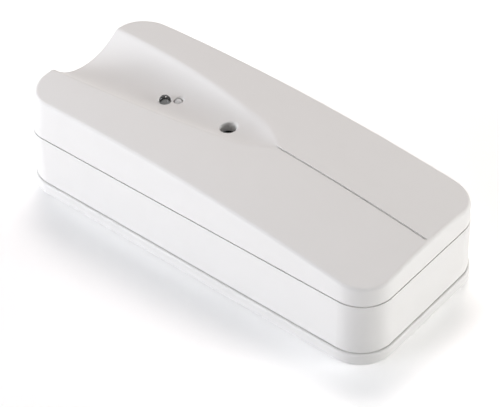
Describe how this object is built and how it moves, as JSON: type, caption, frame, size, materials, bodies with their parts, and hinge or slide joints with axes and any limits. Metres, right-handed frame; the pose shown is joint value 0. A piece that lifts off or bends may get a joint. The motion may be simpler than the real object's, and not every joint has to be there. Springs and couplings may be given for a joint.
{
  "type": "glass break sensor",
  "caption": "Wireless acoustic glass break sensor: long three-shell casing with a scooped, sloping front, microphone port and indicator lens.",
  "frame": {"origin": "middle of the wall plate's back face", "axes": "+Z out of the wall, through the front; +X along the casing to its thin end; +Y across the casing"},
  "size_m": [0.112, 0.0472, 0.0307],
  "materials": {
    "white_shell": "satin moulded ABS, very fine spark texture",
    "clear_lens": "polished clear acrylic",
    "board_green": "solder mask over glass laminate",
    "steel": "zinc plated",
    "nickel": "nickel plated sheet and wire",
    "tinned": "tinned wire",
    "cell_sleeve": "shrink sleeve, plain",
    "black_rubber": "matte moulded rubber",
    "black_cloth": "fine woven acoustic cloth",
    "capsule_can": "drawn and anodised",
    "lamp_body": "epoxy",
    "chip_black": "moulded epoxy",
    "chip_ceramic": "sintered",
    "capacitor_sleeve": "drawn can",
    "header_plastic": "moulded nylon",
    "reed_glass": "green sealing glass",
    "magnet_nickel": "nickel plated magnet"
  },
  "bodies": {
    "root": {"wall_plate": "white_shell", "middle_housing": "white_shell", "front_cover": "white_shell", "circuit_board": "board_green", "board_screws": "steel", "battery_cell": "cell_sleeve", "positive_contact": "nickel", "negative_contact": "nickel", "negative_spring": "nickel", "microphone_capsule": "capsule_can", "microphone_boot": "black_rubber", "dust_mesh": "black_cloth", "microphone_leads": "tinned", "light_pipe": "clear_lens", "alarm_led": "lamp_body", "status_led": "lamp_body", "microcontroller": "chip_black", "audio_amplifier": "chip_black", "radio_shield": "tinned", "crystal": "steel", "electrolytic_capacitor": "capacitor_sleeve", "chip_capacitors": "chip_ceramic", "jumper_header": "header_plastic", "jumper_cap": "header_plastic", "tamper_reed_switch": "reed_glass", "tamper_magnet": "magnet_nickel", "antenna_wire": "tinned"}
  },
  "joints": []
}
